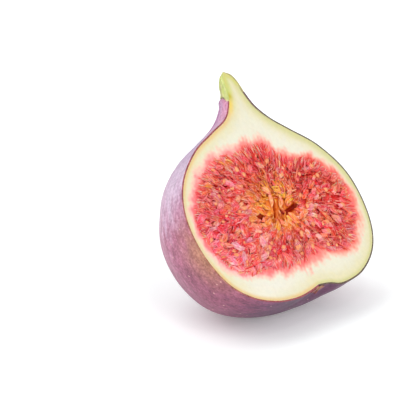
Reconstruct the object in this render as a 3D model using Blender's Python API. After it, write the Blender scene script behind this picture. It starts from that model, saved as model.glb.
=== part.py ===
"""Half of a fresh purple fig, cut lengthwise from the stem to the eye and at rest.

Units are metres and +Z is up. The whole fruit is shaped first from a sphere,
standing upright on its eye with the knife's path along the XZ plane. It is then
halved, turned to the way the half lies, and settled on the surface under it.
"""

import math

import bmesh
import bpy
import numpy as np
from mathutils import Matrix

MM = 0.001

# The outline of the cut face in millimetres, from the eye up to the tip of the
# stem, as (distance sideways, height). The right and left points of one row are
# the two ends of the same rib, which runs around the back of the fruit.
RIGHT_EDGE = (
    (2.0, -21.2), (5.5, -21.5), (10.0, -22.5), (17.4, -21.2),
    (23.9, -17.1), (27.7, -11.1), (29.0, -2.9), (27.7, 5.1),
    (22.8, 12.9), (16.6, 18.3), (11.9, 22.4), (8.9, 26.4),
    (7.6, 30.2), (6.9, 33.7), (5.8, 35.7), (3.8, 36.8),
)
LEFT_EDGE = (
    (2.0, -21.2), (-1.5, -22.0), (-6.5, -22.6), (-13.5, -21.9),
    (-20.5, -19.1), (-26.0, -13.8), (-29.2, -5.0), (-28.9, 4.7),
    (-24.7, 12.9), (-17.0, 19.2), (-9.0, 22.7), (-2.6, 25.3),
    (0.8, 29.0), (2.0, 32.2), (2.5, 35.3), (3.8, 36.8),
)
# The body is round, as deep as it is wide to each side. The neck is a little off
# the knife's path, so from NECK_START to NECK_FULL, counted in rows, its depth
# grows to NECK_DEPTH times its half width.
NECK_START = 7.5
NECK_FULL = 11.0
NECK_DEPTH = 1.85

# How the half lies: turned about its own long axis, leaned back, tipped left.
TURN = math.radians(54.0)
LEAN = math.radians(27.5)
TIP = math.radians(-28.5)
# How far the soft underside is pressed flat by the fruit's own weight.
SETTLE = 1.0 * MM

SIDES = 80
RINGS = 56

SKIN_COLOUR = (0.20, 0.09, 0.17, 1.0)
FLESH_COLOUR = (0.62, 0.15, 0.13, 1.0)


def clear_scene():
    """Start from an empty scene."""
    for obj in list(bpy.data.objects):
        bpy.data.objects.remove(obj, do_unlink=True)


def make_material(name, colour, roughness, subsurface=0.0):
    """A Principled material with one colour."""
    material = bpy.data.materials.new(name)
    material.use_nodes = True
    shader = material.node_tree.nodes["Principled BSDF"]
    shader.inputs["Base Color"].default_value = colour
    shader.inputs["Roughness"].default_value = roughness
    shader.inputs["Metallic"].default_value = 0.0
    shader.inputs["Subsurface Weight"].default_value = subsurface
    material.diffuse_color = colour
    return material


def along_curve(points, rows):
    """Points on the smooth curve through the given ones.

    The curve is a cubic in each interval. Its slope at a point is half the step
    between that point's two neighbours, or the first or last step at an end.
    """
    points = np.array(points)
    slopes = np.gradient(points, axis=0)
    start = np.clip(rows.astype(int), 0, len(points) - 2)
    t = (rows - start)[:, None]
    blend = 3 * t**2 - 2 * t**3
    lead_in = t * (1 - t) ** 2 * slopes[start]
    lead_out = t**2 * (1 - t) * slopes[start + 1]
    return points[start] * (1 - blend) + points[start + 1] * blend + lead_in - lead_out


def fig_surface(height, around):
    """The whole fruit's skin, in millimetres.

    height runs from 0 at the eye to 1 at the stem's tip, and around is the angle
    about the long axis, 0 at the right edge of the cut and half a turn at the
    left. Every rib is an ellipse that passes through the cut's two edges.
    """
    rows = height * (len(RIGHT_EDGE) - 1)
    right = along_curve(RIGHT_EDGE, rows)
    left = along_curve(LEFT_EDGE, rows)
    middle = (right + left) / 2
    reach = (right - left) / 2
    neck = np.clip((rows - NECK_START) / (NECK_FULL - NECK_START), 0.0, 1.0)
    neck = neck**2 * (3 - 2 * neck)
    depth = np.linalg.norm(reach, axis=1) * (1 + (NECK_DEPTH - 1) * neck)
    sideways = middle[:, 0] + np.cos(around) * reach[:, 0]
    upwards = middle[:, 1] + np.cos(around) * reach[:, 1]
    return np.stack([sideways, np.sin(around) * depth, upwards], axis=1)


def cut_flat(mesh, point, outward):
    """Cut away what lies outward of a plane and close the cut with one sharp-edged face."""
    parts = mesh.verts[:] + mesh.edges[:] + mesh.faces[:]
    cut = bmesh.ops.bisect_plane(
        mesh, geom=parts, dist=1e-7, plane_co=point, plane_no=outward, clear_outer=True
    )
    rim = [item for item in cut["geom_cut"] if isinstance(item, bmesh.types.BMEdge)]
    for edge in rim:
        edge.smooth = False
    return bmesh.ops.contextual_create(mesh, geom=rim)["faces"]


def make_fig_half(collection, skin, flesh):
    """The halved fruit as one closed solid, at rest with its box centred on Z."""
    shape = bmesh.new()
    bmesh.ops.create_uvsphere(shape, u_segments=SIDES, v_segments=RINGS, radius=1.0)
    sphere = np.array([vert.co for vert in shape.verts])
    height = np.arccos(np.clip(-sphere[:, 2], -1.0, 1.0)) / math.pi
    around = np.arctan2(sphere[:, 1], sphere[:, 0])
    for vert, place in zip(shape.verts, fig_surface(height, around) * MM):
        vert.co = place

    cut_face = cut_flat(shape, (0, 0, 0), (0, -1, 0))
    for face in cut_face:
        face.material_index = 1

    pose = Matrix.Rotation(TIP, 4, "Y") @ Matrix.Rotation(-LEAN, 4, "X")
    shape.transform(pose @ Matrix.Rotation(TURN, 4, "Z"))
    lowest = min(vert.co.z for vert in shape.verts)
    cut_flat(shape, (0, 0, lowest + SETTLE), (0, 0, -1))

    low = [min(vert.co[axis] for vert in shape.verts) for axis in range(3)]
    high = [max(vert.co[axis] for vert in shape.verts) for axis in range(3)]
    base = ((low[0] + high[0]) / 2, (low[1] + high[1]) / 2, low[2])
    bmesh.ops.translate(shape, vec=[-value for value in base], verts=shape.verts)
    bmesh.ops.triangulate(shape, faces=shape.faces)
    bmesh.ops.recalc_face_normals(shape, faces=shape.faces)

    mesh = bpy.data.meshes.new("fig_half")
    shape.to_mesh(mesh)
    shape.free()
    mesh.materials.append(skin)
    mesh.materials.append(flesh)
    mesh.shade_smooth()
    fig_half = bpy.data.objects.new("fig_half", mesh)
    collection.objects.link(fig_half)
    return fig_half


def main():
    clear_scene()
    collection = bpy.data.collections.new("fresh_fig")
    bpy.context.scene.collection.children.link(collection)
    skin = make_material("fig_skin", SKIN_COLOUR, roughness=0.55)
    flesh = make_material("fig_flesh", FLESH_COLOUR, roughness=0.4, subsurface=0.2)
    make_fig_half(collection, skin, flesh)


main()
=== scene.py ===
# %% [markdown]
# # Half of a fresh fig
#
# A ripe purple fig has been cut lengthwise, from its stem to the eye at its base.
# This lesson finishes that half: the bloomy skin, the cream wall, and the wet red
# pulp with its sacs, fibres and seeds. The plain solid that carries its size and
# weight is loaded first, and everything is worked out around it.

import math

import bmesh
import bpy
import numpy as np
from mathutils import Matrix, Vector


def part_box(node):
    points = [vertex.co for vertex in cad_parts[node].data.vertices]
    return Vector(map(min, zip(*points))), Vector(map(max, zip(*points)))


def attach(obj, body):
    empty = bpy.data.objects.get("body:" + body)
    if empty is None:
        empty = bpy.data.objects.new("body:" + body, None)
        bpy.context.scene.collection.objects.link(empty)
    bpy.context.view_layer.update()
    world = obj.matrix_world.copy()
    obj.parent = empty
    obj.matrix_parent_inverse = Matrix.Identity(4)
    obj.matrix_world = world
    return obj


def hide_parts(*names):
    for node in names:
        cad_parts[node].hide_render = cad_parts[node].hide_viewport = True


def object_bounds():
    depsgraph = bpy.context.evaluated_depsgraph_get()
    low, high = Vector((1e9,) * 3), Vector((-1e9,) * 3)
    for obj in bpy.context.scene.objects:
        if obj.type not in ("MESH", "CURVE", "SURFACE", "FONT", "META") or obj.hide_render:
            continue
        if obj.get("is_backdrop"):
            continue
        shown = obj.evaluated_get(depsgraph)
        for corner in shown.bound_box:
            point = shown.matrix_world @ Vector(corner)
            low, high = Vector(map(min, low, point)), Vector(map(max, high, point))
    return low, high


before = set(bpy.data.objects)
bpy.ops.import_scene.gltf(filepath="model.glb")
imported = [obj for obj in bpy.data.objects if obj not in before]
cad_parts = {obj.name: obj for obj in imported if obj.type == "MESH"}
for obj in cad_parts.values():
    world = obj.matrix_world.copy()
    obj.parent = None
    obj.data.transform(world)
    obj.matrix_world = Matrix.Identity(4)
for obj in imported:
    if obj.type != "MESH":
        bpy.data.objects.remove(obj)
cad_low, cad_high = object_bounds()
print("solid, mm:", [round(side * 1000, 1) for side in cad_high - cad_low])

# %% [markdown]
# ## The outline
#
# The real fruit is a squat pear. A potter would draw its two edges and spin them,
# but this fig leans a little, so its right and left edges differ. The edges are
# therefore two smooth curves through a few points each, in millimetres, from the
# eye up to the tip of the stem. A rib at any height is half an ellipse that joins
# the two edges round the back.

# %% The two edges of the cut
RIGHT_EDGE = (
    (2.0, -21.2), (5.5, -21.5), (10.0, -22.5), (17.4, -21.2),
    (23.9, -17.1), (27.7, -11.1), (29.0, -2.9), (27.7, 5.1),
    (22.8, 12.9), (16.6, 18.3), (11.9, 22.4), (8.9, 26.4),
    (7.6, 30.2), (6.9, 33.7), (5.8, 35.7), (3.8, 36.8),
)
LEFT_EDGE = (
    (2.0, -21.2), (-1.5, -22.0), (-6.5, -22.6), (-13.5, -21.9),
    (-20.5, -19.1), (-26.0, -13.8), (-29.2, -5.0), (-28.9, 4.7),
    (-24.7, 12.9), (-17.0, 19.2), (-9.0, 22.7), (-2.6, 25.3),
    (0.8, 29.0), (2.0, 32.2), (2.5, 35.3), (3.8, 36.8),
)
LAST_ROW = len(RIGHT_EDGE) - 1
NECK_START, NECK_FULL, NECK_DEPTH = 7.5, 11.0, 1.85


def along_curve(points, rows):
    """Points on a smooth curve: a cubic in each interval, whose slope at a point
    is half the step between that point's neighbours."""
    points = np.array(points)
    slopes = np.gradient(points, axis=0)
    start = np.clip(rows.astype(int), 0, len(points) - 2)
    t = (rows - start)[..., None]
    blend = 3 * t**2 - 2 * t**3
    lead_in = t * (1 - t) ** 2 * slopes[start]
    lead_out = t**2 * (1 - t) * slopes[start + 1]
    return points[start] * (1 - blend) + points[start + 1] * blend + lead_in - lead_out


def ease(value, low, high):
    """0 below low, 1 above high, and a smooth S between them."""
    t = np.clip((value - low) / (high - low), 0.0, 1.0)
    return t * t * (3 - 2 * t)


def fig_surface(height, around):
    """The plain outer surface in the fruit's own frame, in mm: x sideways, y into
    the fruit and z up its axis. height is 0 at the eye and 1 at the stem's tip;
    around is 0 at the right edge and half a turn at the left. A point is the
    rib's middle, plus cos(around) times its reach sideways, plus sin(around)
    times its depth, which equals the reach except in the deeper neck."""
    rows = height * LAST_ROW
    right = along_curve(RIGHT_EDGE, rows)
    left = along_curve(LEFT_EDGE, rows)
    middle = (right + left) / 2
    reach = (right - left) / 2
    neck = 1 + (NECK_DEPTH - 1) * ease(rows, NECK_START, NECK_FULL)
    depth = np.linalg.norm(reach, axis=-1) * neck
    x = middle[..., 0] + np.cos(around) * reach[..., 0]
    z = middle[..., 1] + np.cos(around) * reach[..., 1]
    return np.stack([x, np.sin(around) * depth, z], axis=-1)


def grid(rows, columns, low=0.0, high=1.0):
    """Two arrays of surface parameters: height from low to high in rows, and around
    from the right edge to the left in columns."""
    return np.meshgrid(
        np.linspace(low, high, rows), np.linspace(0.0, math.pi, columns), indexing="ij"
    )


plain = fig_surface(*grid(160, 90))
print("fruit in its own frame, mm:", np.ptp(plain.reshape(-1, 3), axis=0).round(1))

# %% [markdown]
# ## Laying the half down
#
# The half doesn't lie flat on its back. It balances on the rounded underside,
# turned about its own axis, leaned back and tipped to the left. The same three
# turns are used here as on the solid, and its box gives the place, so the fine
# surfaces land where the solid is. Soft fruit sags where it touches the table:
# heights near zero are pressed up to just above it.

# %% From the fruit's frame to the table
MM = 0.001
TURN, LEAN, TIP = math.radians(54.0), math.radians(27.5), math.radians(-28.5)
SAG = 0.25


def turning(axis, angle):
    """A 3 by 3 rotation about axis 0, 1 or 2."""
    matrix = np.eye(3)
    first, second = (axis + 1) % 3, (axis + 2) % 3
    matrix[first, first] = matrix[second, second] = math.cos(angle)
    matrix[second, first] = math.sin(angle)
    matrix[first, second] = -math.sin(angle)
    return matrix


POSE = turning(1, TIP) @ turning(0, -LEAN) @ turning(2, TURN)
posed = plain.reshape(-1, 3) @ POSE.T
own_low, own_high = posed.min(axis=0), posed.max(axis=0)
solid_low, solid_high = (np.array(corner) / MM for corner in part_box("fig_half"))
shift = (solid_low + solid_high) / 2 - (own_low + own_high) / 2
shift[2] = solid_high[2] - own_high[2]


def place(points):
    """Points of the fruit's frame, in mm, as points on the table, in metres. Heights
    follow the smooth maximum of the height and zero."""
    world = points @ POSE.T + shift
    z = world[..., 2]
    world[..., 2] = (z + np.sqrt(z**2 + SAG**2)) / 2
    return world * MM


print("pressed flat, mm:", round(float(-(own_low[2] + shift[2])), 2))

# %% [markdown]
# ## Camera, floor and light
#
# The fruit is seen from a little above, from far away with a long lens, so that
# nothing is stretched. It stands on a light table, a plain white floor that glows a
# little, between two large soft lamps, with a pale room that fills the shadows. One
# small weak lamp, above the cut and in front, adds the glints that show it is wet.

# %% Camera
VIEW_HEIGHT = math.radians(20.0)
VIEW_DISTANCE = 0.9
VIEW_WIDTH = 96.8 * MM
VIEW_RIGHT, VIEW_DOWN = 18.5 * MM, 2.2 * MM

camera_data = bpy.data.cameras.new("camera")
camera_data.sensor_width = 36.0
camera_data.lens = camera_data.sensor_width * VIEW_DISTANCE / VIEW_WIDTH
camera_data.clip_start = 0.01
camera_data.clip_end = 10.0
camera = bpy.data.objects.new("camera", camera_data)
bpy.context.scene.collection.objects.link(camera)
bpy.context.scene.camera = camera

view_up = np.array([0.0, math.sin(VIEW_HEIGHT), math.cos(VIEW_HEIGHT)])
view_back = np.array([0.0, -math.cos(VIEW_HEIGHT), math.sin(VIEW_HEIGHT)])
fig_middle = shift * MM
target = fig_middle - np.array([VIEW_RIGHT, 0, 0]) + VIEW_DOWN * view_up
camera.location = target + VIEW_DISTANCE * view_back
camera.rotation_euler = (math.pi / 2 - VIEW_HEIGHT, 0, 0)
print("lens, mm:", round(camera_data.lens))


# %% Material helper
def new_material(name, settings):
    """A material, its node tree and its Principled shader, whose sockets get the
    settings: a value for each socket's name."""
    material = bpy.data.materials.new(name)
    material.use_nodes = True
    tree = material.node_tree
    shader = tree.nodes["Principled BSDF"]
    for socket, value in settings.items():
        shader.inputs[socket].default_value = value
    print("material:", name)
    return material, tree, shader


# %% Floor and lamps
FLOOR_SIZE = 3.0
bpy.ops.mesh.primitive_plane_add(size=FLOOR_SIZE)
floor = bpy.context.object
floor.name = "floor"
floor_material, _, _ = new_material("floor", {
    "Base Color": (0.915, 0.945, 0.945, 1), "Roughness": 0.9,
    "Emission Color": (1, 1, 1, 1), "Emission Strength": 0.19,
})
floor.data.materials.append(floor_material)
floor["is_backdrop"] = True

room = bpy.data.worlds.new("room")
room.use_nodes = True
room_light = room.node_tree.nodes["Background"].inputs
room_light["Color"].default_value = (1, 1, 1, 1)
room_light["Strength"].default_value = 0.74
bpy.context.scene.world = room
bpy.context.scene.view_settings.view_transform = "Standard"


def add_lamp(name, place_at, size, power):
    """A square soft lamp that faces the middle of the fruit, 20 mm above the table.
    Its place and size are in metres, and its power in watts."""
    data = bpy.data.lights.new(name, "AREA")
    data.size = size
    data.energy = power
    lamp = bpy.data.objects.new(name, data)
    bpy.context.scene.collection.objects.link(lamp)
    lamp.location = place_at
    aim = (Vector((0, 0, 0.02)) - lamp.location).to_track_quat("-Z", "Y")
    lamp.rotation_euler = aim.to_euler()
    print(name, "lamp, watts:", power)


add_lamp("window", (-0.50, 0.00, 0.80), 0.9, 3.4)
add_lamp("front fill", (0.50, -0.80, 0.60), 0.7, 3.4)
add_lamp("glint", (0.10, -0.55, 0.80), 0.12, 0.4)

# %% [markdown]
# ## From grids to pieces
#
# Every surface below is a grid of points from a formula. One helper turns such a
# grid into a mesh, merges the points that meet at poles and seams, and stores a
# colour at every point. The colours are mixed from a few named ones by formulas
# too, because on a cut fruit the colour depends on where a point is: how far it
# lies from the skin, from the red pulp or from the middle.

# %% Mesh helpers
def grid_faces(rows, columns, closed=False):
    """Quads between neighbouring points of a rows by columns grid. If closed, the
    last column joins the first."""
    column = np.arange(columns if closed else columns - 1)
    after = (column + 1) % columns
    row = np.arange(rows - 1)[:, None] * columns
    corners = [row + column, row + after, row + columns + after, row + columns + column]
    return np.stack(corners, axis=-1).reshape(-1, 4)


def add_piece(name, points, faces, material, tint, flat=None, crisp=None):
    """A smooth closed piece that rides on the fruit's body. points are in the fruit's
    frame, and those that coincide are merged. tint holds a colour for each point, and
    flat two pattern coordinates. Edges that bend more than crisp, an angle, stay
    sharp."""
    mesh = bpy.data.meshes.new(name)
    mesh.from_pydata(place(points).reshape(-1, 3).tolist(), [], faces.tolist())
    colours = np.ones((len(mesh.vertices), 4), np.float32)
    colours[:, :3] = np.clip(tint.reshape(-1, 3), 0, 1)
    mesh.attributes.new("tint", "FLOAT_COLOR", "POINT")
    mesh.attributes["tint"].data.foreach_set("color", colours.ravel())
    if flat is not None:
        corners = np.empty(len(mesh.loops), np.int32)
        mesh.loops.foreach_get("vertex_index", corners)
        layer = mesh.uv_layers.new(name="flat")
        layer.data.foreach_set("uv", flat.reshape(-1, 2)[corners].astype(np.float32).ravel())
    joined = bmesh.new()
    joined.from_mesh(mesh)
    bmesh.ops.remove_doubles(joined, verts=joined.verts, dist=0.001 * MM)
    bmesh.ops.recalc_face_normals(joined, faces=joined.faces)
    joined.to_mesh(mesh)
    joined.free()
    mesh.shade_smooth()
    if crisp is not None:
        mesh.set_sharp_from_angle(angle=crisp)
    mesh.materials.append(material)
    piece = bpy.data.objects.new(name, mesh)
    bpy.context.scene.collection.objects.link(piece)
    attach(piece, "root")
    mesh.calc_loop_triangles()
    print(name, "triangles:", len(mesh.loop_triangles))
    return piece


def unit(vectors):
    """Vectors divided by their own lengths."""
    return vectors / np.linalg.norm(vectors, axis=-1, keepdims=True)


def outward(points):
    """Unit normals of a grid of points: the cross product of its two slopes. In the
    first and last column they are laid into the plane of the cut, so that a wall
    which is measured along them ends flat there."""
    down = np.gradient(points, axis=0)
    across = np.gradient(points, axis=1)
    normal = np.cross(across, down)
    normal /= np.maximum(np.linalg.norm(normal, axis=-1, keepdims=True), 1e-9)
    normal[:, [0, -1], 1] = 0
    return unit(normal)


# %% Waves, bells and mixtures
def ripple(x, y, size, seed, waves=7):
    """A smooth random wave, mostly from -1 to 1: the sum of plane waves that run in
    all directions, with wavelengths about size."""
    pick = np.random.default_rng(seed)
    total = 0.0
    for _ in range(waves):
        way = pick.uniform(0, math.pi)
        length = size * pick.uniform(0.7, 1.5)
        phase = pick.uniform(0, 2 * math.pi)
        along = x * math.cos(way) + y * math.sin(way)
        total = total + np.sin(along * 2 * math.pi / length + phase)
    return total / math.sqrt(waves)


def bell(*distances):
    """A bell curve in one or more directions: 1 where every distance is 0, falling as
    e to the power of minus the sum of their squares."""
    return np.exp(-sum(distance**2 for distance in distances))


def mix(first, second, amount):
    """Colours that lie amount of the way from first to second."""
    amount = np.asarray(amount)[..., None]
    return np.asarray(first) * (1 - amount) + np.asarray(second) * amount


def layered(colour, *layers):
    """A colour with others laid over it in turn. A layer is a colour and how much it
    covers, from 0 to 1."""
    for over, amount in layers:
        colour = mix(colour, over, amount)
    return colour


# %% [markdown]
# ## Finishes from a few nodes
#
# The finishes differ, but the same nodes make them all: the colour stored at the
# points, noise of a real size, a ramp that turns noise into a mask, a mix and a
# bump. So there is one small function for each, and a finish is a few lines.

# %% Shader helpers
def add_node(tree, kind, links=None, values=None, **settings):
    """A node with its settings, its inputs' values and its inputs' links."""
    node = tree.nodes.new(kind)
    for name, value in settings.items():
        setattr(node, name, value)
    for name, value in (values or {}).items():
        node.inputs[name].default_value = value
    for name, source in (links or {}).items():
        tree.links.new(source, node.inputs[name])
    return node


def tint_of(tree):
    """The colour stored at the points of the piece."""
    return add_node(tree, "ShaderNodeAttribute", attribute_name="tint").outputs["Color"]


def noise(tree, size, detail, stretch=(1, 1, 1), flat=False):
    """Noise with blotches of about size, in metres, on Object coordinates, or on the
    piece's flat coordinates, in which one unit is one metre too. stretch draws the
    blotches out along each axis."""
    where = add_node(tree, "ShaderNodeTexCoord").outputs["UV" if flat else "Object"]
    scale = tuple(1 / (size * part) for part in stretch)
    turned = add_node(tree, "ShaderNodeMapping", {"Vector": where}, {"Scale": scale})
    values = {"Scale": 1.0, "Detail": detail, "Roughness": 0.55}
    return add_node(tree, "ShaderNodeTexNoise", {"Vector": turned.outputs[0]}, values).outputs["Fac"]


def ramp(tree, source, *stops):
    """A grey ramp through (place, value) stops."""
    node = add_node(tree, "ShaderNodeValToRGB", {"Fac": source})
    elements = node.color_ramp.elements
    while len(elements) < len(stops):
        elements.new(0.5)
    for element, (where, value) in zip(elements, stops):
        element.position = where
        element.color = (value, value, value, 1)
    return node.outputs["Color"]


def blend(tree, mode, amount, first, second):
    """Two colours mixed by a named mode. amount and second may be values or links."""
    node = add_node(tree, "ShaderNodeMix", data_type="RGBA", blend_type=mode)
    for place_in, value in ((0, amount), (6, first), (7, second)):
        if isinstance(value, bpy.types.NodeSocket):
            tree.links.new(value, node.inputs[place_in])
        else:
            node.inputs[place_in].default_value = value
    return node.outputs[2]


def add_bump(tree, shader, source, strength, height):
    """Bump of a real height, in metres, from a source from 0 to 1."""
    values = {"Strength": strength, "Distance": height}
    bump = add_node(tree, "ShaderNodeBump", {"Height": source}, values)
    tree.links.new(bump.outputs["Normal"], shader.inputs["Normal"])


# %% [markdown]
# ## Skin
#
# A fig's skin is a thin purple film, paler where its waxy bloom lies, and where
# the knife passed its edge shows as a fine dark line. It is made as a thin closed
# shell: the outer surface, the narrow cut rim, and an inner surface less than half
# a millimetre further in. Solidify could thicken a single surface, but a shell from
# the formula gives the rim points and a colour of its own. Faint ribs run
# lengthwise, and soft creases gather where the body narrows to the neck. The knife
# leaves the edge clean, so all relief fades there.

# %% Skin shape
SKIN_THICKNESS = 0.42
STEM_STARTS = 12.1 / LAST_ROW
RIBS, RIB_HEIGHT = 9, 0.09
CREASES = (
    (0.75, 0.035, 0.30), (1.15, 0.05, 0.42), (1.62, 0.04, 0.38), (2.0, 0.05, 0.45),
    (2.45, 0.04, 0.30),
)
# Round the body an angle times the first, and along it a height times the second,
# are roughly millimetres on the surface.
BODY_RADIUS, BODY_LENGTH = 24, 62


def skin_relief(height, around):
    """How far the skin stands out from the plain surface, in mm: ribs that follow
    the cosine of the angle, narrow dips along curved lines, and gentle swells. All
    fade at the two cut edges and at the eye. A soft lip runs along the upper end,
    and a fine groove where it meets the stem."""
    ribs = RIB_HEIGHT * np.cos(2 * RIBS * around + 1.5 * np.sin(3 * height)) * ease(height, 0.1, 0.5)
    swells = 0.10 * ripple(around * BODY_RADIUS, height * BODY_LENGTH, 21.0, 3)
    relief = (ribs + swells) * ease(height, 0.0, 0.12)
    for line, width, depth in CREASES:
        bend = line + 0.12 * np.sin(5 * height + line)
        along = ease(height, 0.42, 0.60) * (1 - ease(height, 0.76, 0.81))
        relief = relief - depth * along * bell((around - bend) / width)
    to_seam = (seam(around) - height) * BODY_LENGTH
    lip = 0.22 * bell((to_seam - 1.1) / 0.9) - 0.25 * bell(to_seam / 0.35)
    return relief * ease(np.sin(around), 0.10, 0.60) + lip * ease(np.sin(around), 0.0, 0.20)


def across_shell(columns):
    """Angles from the right edge to the left. The edge ones are doubled close by, so
    that the narrow cut rim keeps a colour of its own."""
    inside = np.linspace(0.02, math.pi - 0.02, columns - 4)
    return np.concatenate([[0.0, 0.004], inside, [math.pi - 0.004, math.pi]])


def seam(around):
    """The height at which the skin ends and the stem begins: higher on the back than
    at the two cut edges."""
    return STEM_STARTS + 0.034 * ease(np.sin(around), 0.0, 0.55)


def shell(rows, columns, low, high, thickness, relief):
    """A closed shell between two heights. Each row runs out along the surface from
    the right edge to the left, and back a thickness further in. The first and last
    rows are pressed together half-way, which closes the ends, and it thins towards
    the tip of the stem. low and high may vary round the fruit. Returns the points,
    the height and angle of each, and 1 where it lies on the cut rim."""
    share, around = np.meshgrid(np.linspace(0, 1, rows), across_shell(columns), indexing="ij")
    height = low + (high - low) * share
    plain = fig_surface(height, around)
    out = outward(plain)
    outer = plain + out * relief(height, around)[..., None]
    inner = outer - out * (thickness * ease(1 - height, -0.01, 0.06))[..., None]
    ends = (outer + inner) / 2
    outer = np.concatenate([ends[:1], outer, ends[-1:]])
    inner = np.concatenate([ends[:1], inner, ends[-1:]])
    height = np.concatenate([height[:1], height, height[-1:]])
    around = np.concatenate([around[:1], around, around[-1:]])
    points = np.concatenate([outer, inner[:, ::-1]], axis=1)
    height = np.concatenate([height, height[:, ::-1]], axis=1)
    around = np.concatenate([around, around[:, ::-1]], axis=1)
    is_rim = np.zeros(height.shape)
    is_rim[:, [0, columns - 1, columns, -1]] = 1
    return points, height, around, is_rim


# The rows stop a hair from the eye, where they would all shrink to one point.
SKIN_ROWS, SKIN_COLUMNS, EYE_END = 220, 161, 0.0004
skin_high = seam(across_shell(SKIN_COLUMNS))
skin_points, skin_height, skin_around, skin_rim = shell(
    SKIN_ROWS, SKIN_COLUMNS, EYE_END, skin_high, SKIN_THICKNESS, skin_relief
)
print("skin thickness, mm:", SKIN_THICKNESS)

# %% [markdown]
# ## The skin's colours
#
# Ripe skin darkens towards the base, partly in its own colour and partly as painted
# shade where it faces the table. Its waxy bloom is pale violet on the shoulder, with
# a painted sheen laid over it, and a band of painted violet shade lies above it.
# These broad tones depend on the place, so they are mixed by formulas and stored at
# the points. What is finer than the points, such as streaks, grain and pale specks,
# is noise in the material.

# %% Skin colours
PLUM = (0.12, 0.030, 0.085)
WINE = (0.31, 0.082, 0.150)
ROSY = (0.47, 0.145, 0.25)
MAUVE = (0.53, 0.240, 0.39)
BLOOM_AND_SHEEN = (0.70, 0.55, 0.70)
PURPLE = (0.17, 0.045, 0.105)
LAVENDER = (0.42, 0.20, 0.33)
ORCHID = (0.52, 0.27, 0.46)
PETAL = (0.76, 0.33, 0.47)
SHADE_VIOLET = (0.32, 0.20, 0.38)
OCHRE = (0.48, 0.21, 0.12)
SPECK = (0.80, 0.50, 0.42, 1)
RIM_LEFT, RIM_RIGHT, RIM_NECK = (0.34, 0.08, 0.09), (0.13, 0.09, 0.06), (0.11, 0.035, 0.05)


def skin_tint(height, around, rim):
    """From the base up: plum, wine, rose and mauve; the dark base is partly the skin's
    own colour and partly painted shade where it faces the table. Then pale bloom on
    the shoulder with a painted sheen over it, a band of painted violet shade above it,
    and orchid and petal pink at the neck. Away from the left edge the skin is a deeper
    purple with lavender stripes. By that edge lie an ochre patch below the middle and a
    paler band low down, with a darker one under it. rim is 1 on the cut rim, which is
    plain and dark."""
    side = math.pi - around
    x, y = around * BODY_RADIUS, height * BODY_LENGTH
    blotch = 0.5 + 0.25 * ripple(x, y, 9.0, 11) + 0.2 * ripple(x, y, 3.5, 12)
    fine = ripple(x, y * 0.8, 1.5, 13, 16)
    level = height + 0.06 * (blotch - 0.5) + 0.012 * fine
    stripes = 0.5 + 0.5 * ripple(around * 30, height * 3, 7.0, 14, 12)
    # The waxy bloom, with a painted sheen laid over it, strongest near the left edge of the shoulder.
    bloom_and_sheen = ease(level, 0.43, 0.56) * (0.10 + 0.90 * (1 - ease(side, 0.05, 0.95)))
    # Painted shade: a darker violet band on the shoulder below the neck.
    painted_shade = bell((height - 0.635) / 0.06) * (1 - ease(side, 0.25, 0.9))
    ochre = bell((height - 0.395) / 0.06, side / 0.20)
    # The base darkens partly in the skin's own colour and partly as painted shade where it faces the
    # table.
    colour = layered(
        PLUM,
        (WINE, ease(level, 0.18, 0.33)),
        (ROSY, ease(level, 0.35, 0.46)),
        (MAUVE, ease(level, 0.43, 0.52)),
        (PURPLE, 0.85 * ease(side, 0.5, 1.2) * ease(level, 0.25, 0.45)),
        (LAVENDER, 0.5 * ease(side, 0.5, 1.3) * ease(stripes, 0.45, 1.0) * ease(level, 0.2, 0.5)),
        (BLOOM_AND_SHEEN, 0.85 * bloom_and_sheen * (1 - 0.75 * ease(height, 0.56, 0.70))),
        (ORCHID, 0.8 * ease(height, 0.66, 0.74) * (1 - 0.7 * ease(side, 0.9, 1.8))),
        (SHADE_VIOLET, 0.6 * painted_shade),
        (PETAL, 0.7 * ease(height, 0.70, 0.76) * (1 - ease(side, 0.15, 0.55))),
        (ROSY, 0.4 * ease(height, seam(around) - 0.02, seam(around))),
        (OCHRE, 0.9 * ochre * ease(blotch, -0.1, 0.6)),
    )
    low_shade = 0.35 * bell((height - 0.125) / 0.03) * (1 - ease(side, 0.6, 0.95))
    low_light = 0.35 * bell((height - 0.215) / 0.03) * (1 - ease(side, 0.05, 0.15))
    colour = colour * (1 - low_shade + low_light + 0.07 * fine)[..., None]
    on_left = ease(around, 1.0, 2.2)
    edge = layered(
        RIM_RIGHT, (RIM_NECK, ease(height, 0.66, 0.76)), (RIM_LEFT, on_left),
        (OCHRE, 0.9 * bell((height - 0.38) / 0.08) * on_left),
    )
    return mix(colour, edge, rim)


# %% Skin material
skin_material, tree, shader = new_material("skin", {
    "Roughness": 0.45, "Specular IOR Level": 0.35,
    "Sheen Weight": 0.06, "Sheen Roughness": 0.3, "Sheen Tint": (0.80, 0.78, 1.0, 1),
})
colour = tint_of(tree)
streaks = noise(tree, 0.0007, 4.0, (1, 3, 1), flat=True)
colour = blend(tree, "MULTIPLY", 0.5, colour, ramp(tree, streaks, (0.34, 0.66), (0.60, 1.06)))
cloud = noise(tree, 0.0022, 6.0)
colour = blend(tree, "SOFT_LIGHT", 0.5, colour, ramp(tree, cloud, (0.30, 0.28), (0.70, 0.74)))
grain = noise(tree, 0.0006, 3.0)
colour = blend(tree, "SOFT_LIGHT", 0.6, colour, ramp(tree, grain, (0.32, 0.15), (0.68, 0.85)))
where = add_node(tree, "ShaderNodeTexCoord").outputs["Object"]
specks = add_node(tree, "ShaderNodeTexVoronoi", {"Vector": where}, {"Scale": 330.0})
dot = ramp(tree, specks.outputs["Distance"], (0.0, 0.75), (0.05, 0.7), (0.10, 0.0))
colour = blend(tree, "MIX", dot, colour, SPECK)
tree.links.new(colour, shader.inputs["Base Color"])
add_bump(tree, shader, streaks, 0.3, 0.00006)

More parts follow.
